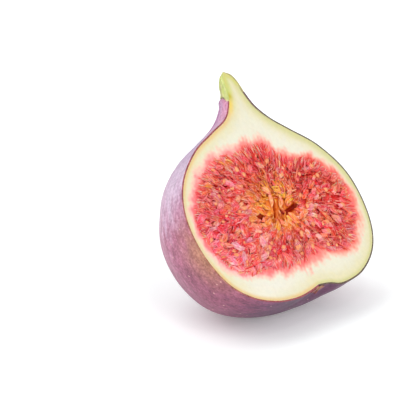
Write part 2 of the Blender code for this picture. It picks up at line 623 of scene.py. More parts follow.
# %% The skin piece
# The streaks need flat coordinates: the angle times the radius of the widest part,
# and the distance run up one rib, a quarter of the way from the right edge.
WIDEST_RADIUS, MEASURED_RIB = 29.0, 40
steps = np.linalg.norm(np.diff(skin_points, axis=0, prepend=skin_points[:1]), axis=-1)
run = np.cumsum(steps, axis=0)[:, MEASURED_RIB, None]
skin_flat = np.stack(np.broadcast_arrays(skin_around * WIDEST_RADIUS, run), axis=-1) * MM
skin = add_piece(
    "fig_skin", skin_points, grid_faces(*skin_height.shape, closed=True), skin_material,
    skin_tint(skin_height, skin_around, skin_rim), skin_flat, math.radians(50),
)
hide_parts("fig_half")

# %% [markdown]
# ## The eye
#
# At the base the fruit is open to the tiny wasps that pollinate it. A ring of small
# brown scales covers this eye, and the knife has cut it in half. Each scale is a
# flat drop that lies on the skin with its tip towards the opening. The same drop,
# in other proportions, makes the sacs of the pulp further on.

# %% A drop, and copies of it
TO_FRONT = np.array([0.0, -1.0, 0.0])


def ring_places(rows):
    """Where the rings of a drop lie: half of one minus a cosine, which brings them
    together at the two ends, so that the ends come out round."""
    return (1 - np.cos(np.linspace(0, math.pi, rows))) / 2


def drop(rings, sides, belly, blunt=0.7):
    """A unit drop along its first axis, from 0 to 1. Its radius is a sine arch that
    leans, so that the widest place is at belly, raised to the power blunt: the lower
    this is, the rounder the ends. Returns the points, how far along each lies and
    how much it faces up."""
    along = ring_places(rings + 2)[:, None]
    turn = -math.pi / 2 + np.arange(sides) * 2 * math.pi / sides
    radius = 0.5 * np.sin(math.pi * along ** (math.log(0.5) / math.log(belly))) ** blunt
    radius[[0, -1]] = 0
    x = np.broadcast_to(along, (rings + 2, sides))
    points = np.stack([x, radius * np.cos(turn), radius * np.sin(turn)], axis=-1)
    up = np.broadcast_to(np.sin(turn), x.shape)
    return points, x, up


def repeated(shape, bases, directions, sizes, seed, bend, lumps):
    """Copies of a shape: its first axis runs along each direction, and its third
    towards the front of the cut. sizes scale the three axes. Each copy is bowed
    sideways by a random share of its length, as a parabola and an S, and its width
    and thickness swell and shrink along it as sines of their own."""
    pick = np.random.default_rng(seed)
    count = len(bases)
    side = unit(np.cross(directions, TO_FRONT))
    up = np.cross(side, directions)
    frames = np.stack([directions, side, up], axis=1)
    local = shape[None] * sizes[:, None, None, :]
    along = shape[None, ..., 0]
    phase = pick.uniform(0, 2 * math.pi, (2, count, 1, 1))
    local[..., 1] *= 1 + lumps * np.sin(6 * along + phase[0])
    local[..., 2] *= 1 + lumps * np.sin(8 * along + phase[1])
    bow, sway = pick.normal(0, bend, (2, count, 1, 1)) * sizes[:, 0, None, None]
    local[..., 1] += bow * 4 * along * (1 - along) + sway * np.sin(2 * math.pi * along)
    return bases[:, None, None, :] + np.einsum("nrsk,nkj->nrsj", local, frames)


def sac_flat(sizes, rings, sides, seed):
    """Pattern coordinates of each sac, in metres: across it the length of its girth,
    and along it its length, each moved by a random step of its own."""
    pick = np.random.default_rng(seed)
    girth = sizes[:, 1, None, None] * math.pi * (np.arange(sides) / sides)
    reach = sizes[:, 0, None, None] * ring_places(rings)[:, None]
    both = np.stack(np.broadcast_arrays(girth, reach), axis=-1)
    return (both + pick.uniform(0, 90, (len(sizes), 1, 1, 2))) * MM


def repeated_faces(count, rings, sides):
    """The faces of that many copies of a grid whose rows close on themselves."""
    faces = grid_faces(rings, sides, closed=True)
    return (faces[None] + np.arange(count)[:, None, None] * rings * sides).reshape(-1, 4)


# %% Scales round the eye
SCALES, SCALE_RINGS, SCALE_SIDES = 7, 6, 12
SCALE_ROOT = (0.30, 0.10, 0.09)
SCALE_TIP = (0.50, 0.30, 0.14)
pick = np.random.default_rng(97)
around = np.linspace(0.55, math.pi - 0.4, SCALES) + pick.normal(0, 0.05, SCALES)
outer_end = fig_surface(0.052 + pick.uniform(-0.006, 0.006, SCALES), around)
inner_end = fig_surface(np.full(SCALES, 0.004), around)
length = np.linalg.norm(inner_end - outer_end, axis=1)
direction = unit(inner_end - outer_end)
bases = outer_end - [0.0, 0.0, 0.12]
shape, along, _ = drop(SCALE_RINGS, SCALE_SIDES, 0.35)
sizes = np.stack([length, pick.uniform(1.3, 1.7, SCALES), np.full(SCALES, 0.5)], axis=1)
# A scale lies flat on the skin: the width and thickness of the drop change places.
points = repeated(shape[..., [0, 2, 1]], bases, direction, sizes[:, [0, 2, 1]], 98, 0.02, 0.05)
tint = mix(SCALE_ROOT, SCALE_TIP, ease(along, 0.4, 1.0))
add_piece(
    "eye_scales", points, repeated_faces(SCALES, *along.shape), skin_material,
    np.broadcast_to(tint, (SCALES, *tint.shape)), sac_flat(sizes, *along.shape, 99),
)

# %% [markdown]
# ## Flesh
#
# The cream wall and the bed of the pulp are one piece of flesh, since a fig is a
# hollow receptacle lined with its own tiny flowers. The cut face is a fan of rings
# about the middle of the pulp, out to the skin. It sinks a little under the pulp
# and deeper in the hollow at the heart. Behind it a plain surface just inside the
# skin closes the piece.

# %% Where the pulp ends
MIDDLE = (1.4, 0.0)
PULP_REACH = (
    25.0, 22.7, 20.7, 16.6, 16.2, 17.9, 18.2, 18.4, 20.1, 22.7, 24.6, 27.5,
    28.7, 27.9, 25.6, 20.5, 17.7, 16.0, 15.9, 15.5, 16.5, 21.7, 23.9, 24.7,
)
FRINGE_WIDTH = (
    1.3, 1.3, 1.9, 2.0, 2.6, 2.4, 2.8, 2.8, 2.8, 2.2, 1.9, 1.9,
    1.2, 1.0, 1.3, 2.2, 2.4, 2.4, 2.6, 3.4, 3.0, 2.2, 1.8, 1.9,
)


def around_pulp(values, angle):
    """A smooth closed curve through values at equally spaced directions from the
    middle, with a cubic between them."""
    values = np.array(values)
    count = len(values)
    steps = np.mod(angle / (2 * math.pi), 1.0) * count
    start = np.floor(steps).astype(int)
    t = steps - start
    before, first, second, after = (values[(start + k) % count] for k in (-1, 0, 1, 2))
    bend = 2 * before - 5 * first + 4 * second - after + t * (3 * (first - second) + after - before)
    return first + 0.5 * t * (second - before + t * bend)


def pulp_reach(angle):
    """How far the pulp reaches from its middle in a direction, in mm."""
    return around_pulp(PULP_REACH, angle)


def fringe_width(angle):
    """How wide the soft salmon border of the pulp is in a direction, in mm."""
    return around_pulp(FRINGE_WIDTH, angle)


def polar(x, z):
    """Distance and direction from the middle of the pulp."""
    return np.hypot(x - MIDDLE[0], z - MIDDLE[1]), np.arctan2(z - MIDDLE[1], x - MIDDLE[0])


def from_middle(distance, angle):
    """x and z at a distance and direction from the middle of the pulp."""
    return MIDDLE[0] + distance * np.cos(angle), MIDDLE[1] + distance * np.sin(angle)


# %% Ripe and pale patches
# Each is x, z and a change: above 0 it is paler, below 0 a deeper red.
PATCH_SIZE = 4.5
RIPE_PATCHES = (
    (10, -5, 0.4), (5, 1, 0.4), (-23, -7, 0.4), (0, 13, -0.5), (-1, -9, -0.5),
    (17, -8, -0.6), (23, 2, -0.4), (19, -2, 0.7), (-6, 16, 0.5), (-18, 6, -0.6),
    (-13, 0, 0.4), (-10, 9, -0.3), (15, 4, -0.3), (-19, -13, 0.3),
)


def ripeness(x, z):
    """Factors on red, green and blue: e to the power of a sum of bell curves, one for
    each patch, and of less than a third of it for red. Blue also grows slowly to the
    left, where the pulp is a little pinker."""
    amount = 0.0
    for patch_x, patch_z, change in RIPE_PATCHES:
        near = np.exp(-((x - patch_x) ** 2 + (z - patch_z) ** 2) / PATCH_SIZE**2)
        amount = amount + change * near
    return np.exp(np.stack([0.3 * amount, amount, amount - 0.006 * x], axis=-1))


# %% Hollows and the bed of the pulp
# Each hollow is x and z of its two ends, its half width and its depth, in mm.
BED_DEPTH = 0.6
HOLLOWS = (
    (0.9, 2.0, -0.7, -1.4, 0.38, 2.0), (3.3, 0.9, 1.8, -1.5, 0.35, 1.2),
    (3.2, -1.3, 7.2, -0.3, 0.60, 1.8), (5.3, -1.2, 5.3, -3.0, 0.35, 1.0),
    (-6.6, -0.6, -4.9, -1.6, 0.70, 1.5), (0.0, -2.3, 0.0, -2.8, 0.35, 0.8),
    (-0.2, -4.4, -0.2, -4.9, 0.35, 1.0), (-3.7, -4.7, -3.4, -5.1, 0.35, 1.0),
)


def hollow_depth(x, z):
    """Extra depth at the heart, in mm. Each hollow is a slot from one point to
    another, and its depth falls off as a bell curve of the distance to the slot."""
    depth = 0.0
    for start_x, start_z, end_x, end_z, width, deep in HOLLOWS:
        way_x, way_z = end_x - start_x, end_z - start_z
        along = ((x - start_x) * way_x + (z - start_z) * way_z) / (way_x**2 + way_z**2)
        along = np.clip(along, 0, 1)
        aside = (x - start_x - along * way_x) ** 2 + (z - start_z - along * way_z) ** 2
        depth = depth + deep * np.exp(-aside / width**2)
    return depth


def pulp_depth(x, z):
    """How deep the bed of the pulp lies below the cut, in mm: 0 in the wall, easing
    down over the fringe and 2.4 mm more, with a rolling unevenness and the hollows."""
    distance, angle = polar(x, z)
    inside = ease(pulp_reach(angle) - distance, 0.0, 2.4 + fringe_width(angle))
    return inside * (BED_DEPTH + 0.25 * ripple(x, z, 4.0, 21)) + hollow_depth(x, z)


print("depth of the bed at the middle, mm:", round(float(pulp_depth(*MIDDLE)), 2))

# %% Flesh shape
# At the cut the flesh laps a little over the skin's inner face, so no gap shows.
EDGE_ROWS, FAN_RINGS, BACK_COLUMNS = 300, 105, 16
SKIN_INSET, BACK_INSET, FLESH_TIP = 0.39, 1.2, 0.9995
height, around = grid(EDGE_ROWS, BACK_COLUMNS, EYE_END, FLESH_TIP)
plain = fig_surface(height, around)
inset = (SKIN_INSET + (BACK_INSET - SKIN_INSET) * np.sin(around)) * ease(1 - height, 0.0, 0.04)
back = plain - outward(plain) * inset[..., None]
outline = np.concatenate([back[:, 0], back[::-1, -1]])


def to_outline(x, z):
    """The shortest distance from each point to the outline, for one ring at a time,
    from the distances of all its points to all of the outline's."""
    return np.array([
        np.hypot(ring_x[:, None] - outline[:, 0], ring_z[:, None] - outline[:, 2]).min(axis=1)
        for ring_x, ring_z in zip(x, z)
    ])


# A power below 1 draws the rings together towards the skin.
share = np.linspace(0, 1, FAN_RINGS)[:, None] ** 0.85
fan_x = MIDDLE[0] + share * (outline[:, 0] - MIDDLE[0])
fan_z = MIDDLE[1] + share * (outline[:, 2] - MIDDLE[1])
to_edge = to_outline(fan_x, fan_z)
fan_y = pulp_depth(fan_x, fan_z) - 0.10 * ripple(fan_x, fan_z, 7.0, 22) * ease(to_edge, 0.3, 2.0)
fan_y[-1] = 0
front = np.stack([fan_x, fan_y, fan_z], axis=-1)
print("pulp reaches", min(PULP_REACH), "to", max(PULP_REACH), "mm from its middle")

# %% [markdown]
# ## The flesh's colours
#
# The knife's face isn't one cream: it is greener under the skin and by the stem,
# whiter where it is driest, and it blushes where the salmon fringe of the pulp runs
# into it as fine fibres. Distances to the skin and to the pulp's outline, with a
# little ripple on them, say where each tone begins.

# %% Flesh colours
CREAM = (0.775, 0.715, 0.465)
PALE_CREAM = (0.81, 0.775, 0.63)
MILK = (0.85, 0.82, 0.74)
LIME = (0.64, 0.61, 0.26)
GOLDEN_EDGE = (0.79, 0.54, 0.21)
BLUSH = (0.89, 0.58, 0.45)
PALE_SALMON = (0.97, 0.38, 0.32)
SALMON = (0.97, 0.155, 0.145)
CRIMSON = (0.80, 0.02, 0.025)
AMBER_BED = (0.86, 0.20, 0.008)
UMBER_SHADE = (0.48, 0.018, 0.0)
STEM_GREEN = (0.60, 0.67, 0.20)
STEM_RIND = (0.66, 0.62, 0.18)
STAIN = (0.87, 0.62, 0.09)
OLIVE = (0.54, 0.48, 0.02)
MEAN_REACH = 22


def flesh_tint(x, z, edge_distance):
    """From the skin inwards: a fine line, lime on the right and golden on the left,
    then cream, a blush, salmon fibres that run into the wall, the crimson bed, amber
    round the middle and umber, painted shade, in the hollows. The wall is greener above
    and below, and milky low on the left. At the neck its outer line is dark, the stem's
    end is green, and where it joins the body there is one olive spot, with a golden
    stain running down from it. Spots are bell curves."""
    distance, angle = polar(x, z)
    mottle = 0.5 + 0.3 * ripple(x, z, 3.0, 31) + 0.2 * ripple(x, z, 1.2, 32)
    green = ease(z, 16.0, 30.0) * 0.30 + ease(-z, 12.0, 22.0) * 0.18
    left = ease(3.0 - x, 0.0, 4.0)
    reach_in = 1.3 + 1.2 * (1 - left) * ease(z, -6.0, 6.0) + 0.4 * ease(z, 10.0, 26.0) * left
    strength = 0.9 - 0.35 * left * ease(12 - np.abs(z), 0.0, 5.0)
    dark_edge = ease(z, 20.0, 26.0) * (1 - left * (1 - ease(x, 4.0, 6.0))) * (1 - ease(z, 30.5, 33.0))
    from_left = x - 1.6 - 0.2 * (z - 30.0)
    fringe = fringe_width(angle)
    fibres = (0.12 + 0.05 * fringe) * ripple(angle * MEAN_REACH, distance * 0.5, 1.9, 33, 16)
    fibres = fibres * (1 + 0.5 * ripple(x, z, 6.0, 36))
    inside = pulp_reach(angle) - distance + fibres + 0.5 * ripple(x, z, 4.5, 34)
    inside = inside + 0.25 * ripple(x, z, 1.3, 35, 12)
    colour = layered(
        CREAM,
        (PALE_CREAM, ease(edge_distance + 1.2 * (mottle - 0.5), 0.8, 4.5)),
        (LIME, green * ease(mottle, -0.6, 1.6)),
        (MILK, 0.65 * bell((x + 15.0) / 11.0, (z + 18.5) / 3.4)),
        (mix(LIME, GOLDEN_EDGE, left), strength * (1 - ease(edge_distance, 0.2, reach_in))),
        (RIM_NECK, 0.9 * dark_edge * (1 - ease(edge_distance, 0.05, 0.45))),
        (STEM_GREEN, ease(z, 30.2, 31.2) * (1 - ease(from_left, 0.3, 2.4))),
        (STEM_RIND, ease(z, 31.5, 33.5) * (1 - ease(edge_distance, 0.4, 1.3))),
        (STAIN, 0.9 * bell((x - 0.8 - 0.45 * (z - 27.5)) / 0.85, (z - 28.5) / 2.0)),
        (OLIVE, 0.95 * bell((x - 2.3) / 0.65, (z - 30.4) / 0.85)),
        (BLUSH, 0.8 * ease(inside, -1.9, -0.6)),
        (PALE_SALMON, ease(inside, -1.1, 0.3)),
        (SALMON, ease(inside, -0.5, 0.7 * fringe)),
        (CRIMSON, ease(inside, fringe + 0.4, fringe + 3.0)),
    )
    return layered(
        colour,
        (colour * ripeness(x, z), ease(inside, -1.1, 0.3)),
        (AMBER_BED, 1 - ease(distance, 4.5, 8.5)),
        # Painted shade: umber darkens the hollows.
        (UMBER_SHADE, ease(hollow_depth(x, z), 0.25, 1.0)),
    )


# %% Flesh material
flesh_material, tree, shader = new_material("flesh", {
    "Roughness": 0.42, "Coat Weight": 0.2, "Coat Roughness": 0.25,
    "Subsurface Weight": 0.25, "Subsurface Radius": (1.0, 0.7, 0.4),
    "Subsurface Scale": 0.0005,
})
grain = noise(tree, 0.0009, 4.0)
colour = blend(tree, "MULTIPLY", 0.25, tint_of(tree), ramp(tree, grain, (0.3, 0.80), (0.65, 1.0)))
tree.links.new(colour, shader.inputs["Base Color"])
add_bump(tree, shader, noise(tree, 0.0006, 3.0), 0.4, 0.00010)

# %% The flesh piece
flesh_points = np.concatenate([front.reshape(-1, 3), back.reshape(-1, 3)])
flesh_faces = np.concatenate([
    grid_faces(FAN_RINGS, 2 * EDGE_ROWS, closed=True),
    grid_faces(EDGE_ROWS, BACK_COLUMNS) + front.shape[0] * front.shape[1],
])
front_tint = flesh_tint(fan_x, fan_z, to_edge).reshape(-1, 3)
back_tint = np.broadcast_to(CREAM, (back.shape[0] * back.shape[1], 3))
add_piece(
    "fig_flesh", flesh_points, flesh_faces, flesh_material,
    np.concatenate([front_tint, back_tint]), crisp=math.radians(60),
)

# %% [markdown]
# ## Sacs
#
# The pulp is hundreds of tiny flowers, each swollen into a juicy sac on a stalk.
# They grow inwards from the wall, so every sac points to the middle. A single
# drop-shaped grid is repeated: its place comes from a sunflower spiral fitted to
# the outline of the pulp, which spreads the sacs evenly but never in rows, and its
# size, direction and colour vary a little.

# %% Places and directions
GOLDEN_RATIO = 0.6180339887
CLEAR_OF_HOLLOWS = 0.25
ALL_ROUND = np.linspace(0, 2 * math.pi, 721)


def spiral(count, seed, low, margin):
    """Places spread evenly over the pulp, from a share low of its reach out to a
    margin and most of the fringe from its outline. The turn from one to the next is
    the golden ratio of the whole area, measured round the middle, and the share grows
    as a square root. The hollows stay clear. Returns x, z, angle and share."""
    pick = np.random.default_rng(seed)
    swept = np.cumsum(pulp_reach(ALL_ROUND) ** 2)
    swept = (swept - swept[0]) / (swept[-1] - swept[0])
    order = np.arange(count)
    part = np.mod(order * GOLDEN_RATIO + pick.normal(0, 0.004, count), 1)
    angle = np.interp(part, swept, ALL_ROUND)
    share = np.sqrt(low**2 + (1 - low**2) * (order + pick.uniform(0.1, 0.9, count)) / count)
    distance = share * (pulp_reach(angle) - margin - 0.7 * fringe_width(angle))
    x, z = from_middle(distance, angle)
    clear = hollow_depth(x, z) < CLEAR_OF_HOLLOWS
    return x[clear], z[clear], angle[clear], share[clear]


def juiciness(angle):
    """How swollen the flowers are in a direction, from 0 to 1: half of one plus the
    cosine of the angle to the lower left, where plump sacs crowd out the slender
    ones. On the far right a bell curve holds it at a half."""
    far_right = bell(np.sin(angle / 2) / 0.3)
    return 0.5 + 0.5 * np.cos(angle - math.radians(225)) * (1 - far_right)


def kept(places, keep):
    """The places that pass a yes or no each."""
    return [values[keep] for values in places]


def inward(x, z, angle, seed, scatter, rise):
    """Unit directions towards the middle, turned by slow waves over the pulp and a
    random scatter, and raised towards the front of the cut."""
    pick = np.random.default_rng(seed)
    way = angle + math.pi + 0.28 * ripple(x, z, 9.0, 41) + pick.normal(0, scatter, len(x))
    slope = pick.uniform(*rise, len(x))
    return np.stack([np.cos(way) * np.cos(slope), -np.sin(slope), np.sin(way) * np.cos(slope)], axis=1)


# %% [markdown]
# ## The pulp's colours
#
# Real sacs are clear, with light wandering inside. A clear shader could show that,
# but a model that travels keeps only what is on its surface, so light and shade are
# painted on the sacs: a painted sheen on the shoulders, a colour of their own on top,
# and painted shade in dark red below them and where they touch. The material adds fine
# veins along each sac, dark ones of painted shade and pale ones of painted glints, and
# slow shifts of hue over the pulp.

# %% Pulp material
pulp_material, tree, shader = new_material("pulp", {
    "Roughness": 0.35, "Specular IOR Level": 0.06, "Specular Tint": (1.0, 0.6, 0.5, 1),
    "Subsurface Weight": 0.3, "Subsurface Radius": (1.0, 0.25, 0.18),
    "Subsurface Scale": 0.0006, "Coat Weight": 0.04, "Coat Roughness": 0.12,
})
# Painted light: dark veins are painted shade along each sac, and pale veins are painted glints.
veins = noise(tree, 0.00022, 3.0, (1, 5, 1), flat=True)
deep = ramp(tree, veins, (0.33, 0.9), (0.50, 0.0))
colour = blend(tree, "MULTIPLY", deep, tint_of(tree), (0.50, 0.16, 0.20, 1))
colour = blend(tree, "SCREEN", ramp(tree, veins, (0.53, 0.0), (0.66, 1.0)), colour, (0.60, 0.37, 0.34, 1))
# Where this noise is low the pulp turns to cerise, and where it is high to orange.
hue = noise(tree, 0.0019, 2.0)
colour = blend(tree, "MULTIPLY", ramp(tree, hue, (0.38, 0.9), (0.48, 0.0)), colour, (1.0, 0.68, 0.96, 1))
colour = blend(tree, "MULTIPLY", ramp(tree, hue, (0.52, 0.0), (0.62, 0.9)), colour, (1.0, 1.0, 0.62, 1))
tree.links.new(colour, shader.inputs["Base Color"])

# %% Sac colours
RED = (0.87, 0.014, 0.016)
DEEP_RED = (0.64, 0.002, 0.005)
CERISE = (0.75, 0.010, 0.050)
TAN = (0.86, 0.22, 0.10)
ROSE = (0.92, 0.115, 0.10)
PINK = (0.96, 0.42, 0.37)
PEARL_GLINT = (0.94, 0.57, 0.53)
AMBER = (0.89, 0.23, 0.008)
HONEY = (0.96, 0.46, 0.055)
BURNT_SHADE = (0.62, 0.040, 0.0)
MAROON_SHADE = (0.44, 0.001, 0.003)
CORAL = (1.0, 0.20, 0.17)


def warmth(x, z):
    """How amber the pulp is, from 0 to 1: all of it within 3.6 mm of a point by its
    middle, and less and less out to 12 mm, varied by a ripple. Two small amber spots,
    bell curves, lie elsewhere."""
    distance = np.hypot((x + 0.4) / 1.15, z - 0.9)
    near = 0.80 * (1 - ease(distance, 3.6, 7.4)) + 0.35 * (1 - ease(distance, 5.0, 12.0))
    spots = np.exp(-((x + 9.4) ** 2 + (z - 15.0) ** 2) / 4.0)
    spots = spots + np.exp(-((x + 19.0) ** 2 + (z - 10.3) ** 2) / 3.0)
    return np.clip(near + 0.9 * spots + 0.5 * near * ripple(x, z, 3.5, 43), 0, 1)


def pit(x, z):
    """How much a place lies in one of the pits between the sacs, from 0 to 1: the
    highest parts of a random wave with a length of about 3 mm. The sacs sit lower
    there, and painted shade darkens them."""
    return ease(ripple(x, z, 3.2, 46, 16), 0.45, 1.4)


def sac_tint(x, z, share, along, up, seed, paleness_and_sheen):
    """Each sac has one colour of its own, from deep red to rose or pink, and a few are
    pearl, as painted glints. Neighbours are alike: some patches of the pulp are cerise
    and others tan, it is amber near the middle and salmon at the border, and painted
    shade makes it maroon in the pits, browner near the middle. Light and shade are
    painted on each sac: a painted sheen in a band on its shoulders, its own colour on
    top, and painted shade in deep red below and at its tip, where it lies against
    others. The last argument, from 0 to 1, says how pale a sac is and how strong its
    painted sheen."""
    pick = np.random.default_rng(seed)
    count = len(x)
    warm = warmth(x, z)
    # How warm the painted shade is, browner towards the amber middle.
    shade_warmth = np.clip(1.5 * warm, 0, 1)
    own = layered(
        DEEP_RED,
        (RED, pick.uniform(0.4, 1.0, count) ** 0.6),
        (ROSE, 0.6 * pick.uniform(0, 1, count) * paleness_and_sheen),
    )
    patch = ripple(x, z, 5.0, 44, 12) + pick.normal(0, 0.45, count)
    own = layered(
        own,
        (CERISE, 0.75 * ease(patch, 0.1, 1.0)),
        (TAN, 0.7 * ease(-patch, 0.2, 1.1) * (0.5 + 0.5 * paleness_and_sheen)),
        (PINK, (pick.random(count) < 0.22) * pick.uniform(0.2, 0.8, count) * (0.4 + paleness_and_sheen)),
        # A few pearl sacs are painted glints.
        (PEARL_GLINT, (pick.random(count) < 0.06) * 0.6),
        (SALMON, 0.75 * ease(share, 0.84, 0.98)),
        (mix(AMBER, HONEY, pick.random(count)), np.clip(warm * pick.uniform(0.7, 1.3, count), 0, 1)),
    )
    own = own * (1.05 + 0.20 * ripple(x, z, 7.0, 45, 12))[:, None]
    # Painted shade: sacs in the pits darken to maroon, and to burnt brown near the warm middle.
    own = mix(own, mix(MAROON_SHADE, BURNT_SHADE, shade_warmth), 0.75 * pit(x, z))
    # Painted sheen: a pale band on each sac's shoulders, honey-coloured near the middle.
    painted_sheen = mix(mix(ROSE, PINK, pick.random(count) ** 0.5), PEARL_GLINT, 0.6 * paleness_and_sheen * pick.random(count))
    painted_sheen = mix(painted_sheen, HONEY, 0.88 * warm)[:, None, None, :]
    sheen_band = bell((up - 0.35) / 0.33) * np.sin(math.pi * along) ** 0.5
    own = own * (1 - 0.10 * paleness_and_sheen)
    shade = layered(
        DEEP_RED, (CERISE, ease(patch, 0.1, 1.0)), (BURNT_SHADE, shade_warmth), (CORAL, ease(share, 0.74, 0.92)),
    )[:, None, None, :]
    colour = layered(
        own[:, None, None, :],
        (painted_sheen, (0.40 + 0.55 * paleness_and_sheen) * sheen_band),
        (shade, 0.9 * ease(-up, -0.2, 0.4)),
        (shade, 0.5 * ease(along, 0.86, 1.0)),
    )
    return colour * ripeness(x, z)[:, None, None]


# %% A family of sacs
# This share of a sac's length lies on the wall's side of its place.
LENGTH_BEHIND = 0.45


def add_sacs(name, form, bases, directions, sizes, places, paleness_and_sheen, seeds, bend, lumps):
    """One piece of many sacs. form is what drop gives, places are x, z and share for
    their colours, and seeds are those of the bends, the colours and the patterns."""
    shape, along, up = form
    bend_seed, tint_seed, flat_seed = seeds
    add_piece(
        name, repeated(shape, bases, directions, sizes, bend_seed, bend, lumps),
        repeated_faces(len(sizes), *along.shape), pulp_material,
        sac_tint(*places, along, up, tint_seed, paleness_and_sheen), sac_flat(sizes, *along.shape, flat_seed),
    )


# %% Slender sacs
pick = np.random.default_rng(51)
places = spiral(1150, 52, 0.19, 0.7)
x, z, angle, share = kept(places, pick.random(len(places[0])) > 0.68 * juiciness(places[2]))
slender = len(x)
length = pick.uniform(2.0, 3.8, slender) * (1 - 0.45 * ease(share, 0.8, 1.0))
width = pick.uniform(0.34, 0.72, slender)
direction = inward(x, z, angle, 53, 0.45, (0.0, 0.30))
flatter = 1 - 0.75 * ease(share, 0.74, 0.95)
proud = (0.12 + pick.uniform(0.0, 0.45, slender)) * flatter * (1 - pit(x, z))
depth = pulp_depth(x, z) - proud
bases = np.stack([x, depth, z], axis=1) - direction * (length * LENGTH_BEHIND)[:, None]
sizes = np.stack([length, width, width * 0.65 * flatter], axis=1)
add_sacs(
    "slender_sacs", drop(5, 8, 0.45, 0.65), bases, direction, sizes, (x, z, share), 0.45,
    (55, 54, 56), 0.19, 0.12,
)

# %% [markdown]
# ## Plump sacs and seeds
#
# Where a flower has set seed its sac swells, and turns pale and glassy, with one
# golden seed showing through. These sacs are wider drops with more faces, since
# they are what the eye rests on. A seed is a small ellipsoid that sits in the top
# of its sac, near the belly.

# %% Plump sacs
pick = np.random.default_rng(61)
places = spiral(540, 62, 0.26, 1.0)
x, z, angle, share = kept(places, pick.random(len(places[0])) < 0.42 + 0.58 * juiciness(places[2]))
plump = len(x)
length = pick.uniform(1.9, 3.0, plump) * (1 + 0.38 * juiciness(angle))
width = length * pick.uniform(0.42, 0.62, plump)
direction = inward(x, z, angle, 63, 0.50, (-0.1, 0.3))
proud = (0.30 + pick.uniform(0.0, 0.40, plump)) * (1 - 0.5 * ease(share, 0.78, 1.0))
depth = pulp_depth(x, z) - proud + 0.35 * pit(x, z)
bases = np.stack([x, depth, z], axis=1) - direction * (length * LENGTH_BEHIND)[:, None]
sizes = np.stack([length, width, width * 0.75], axis=1)
add_sacs(
    "plump_sacs", drop(4, 10, 0.42, 0.70), bases, direction, sizes, (x, z, share), 1.0,
    (65, 64, 67), 0.05, 0.07,
)

# %% Seed material
SEED = (0.86, 0.24, 0.08)
PALE_SEED = (0.93, 0.38, 0.15)
SEED_EDGE = (0.78, 0.09, 0.02)
seed_material, tree, shader = new_material("seed", {
    "Roughness": 0.35, "Coat Weight": 0.5, "Coat Roughness": 0.15,
})
speckle = noise(tree, 0.0004, 2.0)
colour = blend(tree, "MULTIPLY", 0.5, tint_of(tree), ramp(tree, speckle, (0.35, 0.7), (0.6, 1.0)))
tree.links.new(colour, shader.inputs["Base Color"])

# %% Seeds
has_seed = pick.random(plump) < 0.26
seeds = int(has_seed.sum())
seed_length = pick.uniform(1.2, 1.8, seeds)
sunk = bases[has_seed] + direction[has_seed] * (length[has_seed] * 0.42)[:, None]
sunk[:, 1] -= width[has_seed] * 0.14
seed_shape, _, up = drop(4, 8, 0.5)
centred = seed_shape - np.array([0.5, 0.0, 0.0])
seed_sizes = np.stack([seed_length, seed_length * 0.8, seed_length * 0.6], axis=1)
points = repeated(centred, sunk, direction[has_seed], seed_sizes, 66, 0.0, 0.05)
own = mix(SEED, PALE_SEED, pick.random(seeds))[:, None, None, :]
tint = mix(own, SEED_EDGE, 0.9 * ease(-up, -0.75, 0.1))
add_piece("fig_seeds", points, repeated_faces(seeds, *up.shape), seed_material, tint)

# %% [markdown]
# ## The golden heart
#
# In the middle the sacs are riper and amber, and they stand round dark hollows that
# the ripe pulp has drawn apart to leave. They are the largest drops. A rule would
# never make just this heart, so twelve are set one by one, with their tips over the
# hollows, and a sunflower spiral of smaller ones leads over to the red pulp.

# %% Golden sacs
# Each is x and z of its outer end, x and z of its tip, and its width, in mm.
GOLDEN_PLACES = np.array([
    (4.5, -5.1, 2.9, -1.6, 2.2), (6.5, 2.8, 4.4, -0.4, 1.5), (2.9, 3.5, 1.6, -0.4, 1.4),
    (0.4, 5.1, -1.1, 0.6, 1.3), (-4.1, 2.5, -1.2, 0.3, 1.3), (-4.8, -0.4, -1.4, -1.0, 1.3),
    (5.3, 4.6, 3.5, 2.4, 1.1), (1.6, -4.9, 1.0, -2.0, 0.9), (-2.2, -4.7, -0.8, -2.0, 1.1),
    (9.0, -1.9, 6.3, -1.9, 1.2), (2.6, 0.6, 2.3, -1.6, 0.7), (0.6, -0.2, 0.7, -2.2, 0.7),
])
SMALLER = 34
GOLDEN_ANGLE = 2.39996  # in radians, as between the seeds of a sunflower
pick = np.random.default_rng(71)
turn = np.arange(SMALLER) * GOLDEN_ANGLE + pick.normal(0, 0.15, SMALLER)
ring = 5.6 + 1.8 * np.sqrt((np.arange(SMALLER) + 0.5) / SMALLER)
small_x = MIDDLE[0] + ring * np.cos(turn) * 1.2
small_z = MIDDLE[1] + ring * np.sin(turn)
tip_x = small_x - pick.uniform(2.2, 3.2, SMALLER) * np.cos(turn + pick.normal(0, 0.3, SMALLER))
tip_z = small_z - pick.uniform(2.2, 3.2, SMALLER) * np.sin(turn + pick.normal(0, 0.3, SMALLER))
smaller = np.stack([small_x, small_z, tip_x, tip_z, pick.uniform(0.8, 1.3, SMALLER)], axis=1)
outer_x, outer_z, inner_x, inner_z, width = np.concatenate([GOLDEN_PLACES, smaller]).T
golden = len(width)
# The first and largest lies on top of its neighbours.
lifted = 0.5 * (np.arange(golden) == 0)
bases = np.stack([outer_x, -lifted - pick.uniform(0.0, 0.3, golden), outer_z], axis=1)
tips = np.stack([inner_x, 0.35 - lifted, inner_z], axis=1)
length = np.linalg.norm(tips - bases, axis=1)
direction = unit(tips - bases)
sizes = np.stack([length, width * 0.85, width * 0.7], axis=1)
add_sacs(
    "golden_sacs", drop(9, 14, 0.5), bases, direction, sizes,
    (outer_x, outer_z, np.zeros(golden)), 0.8, (75, 74, 76), 0.10, 0.12,
)

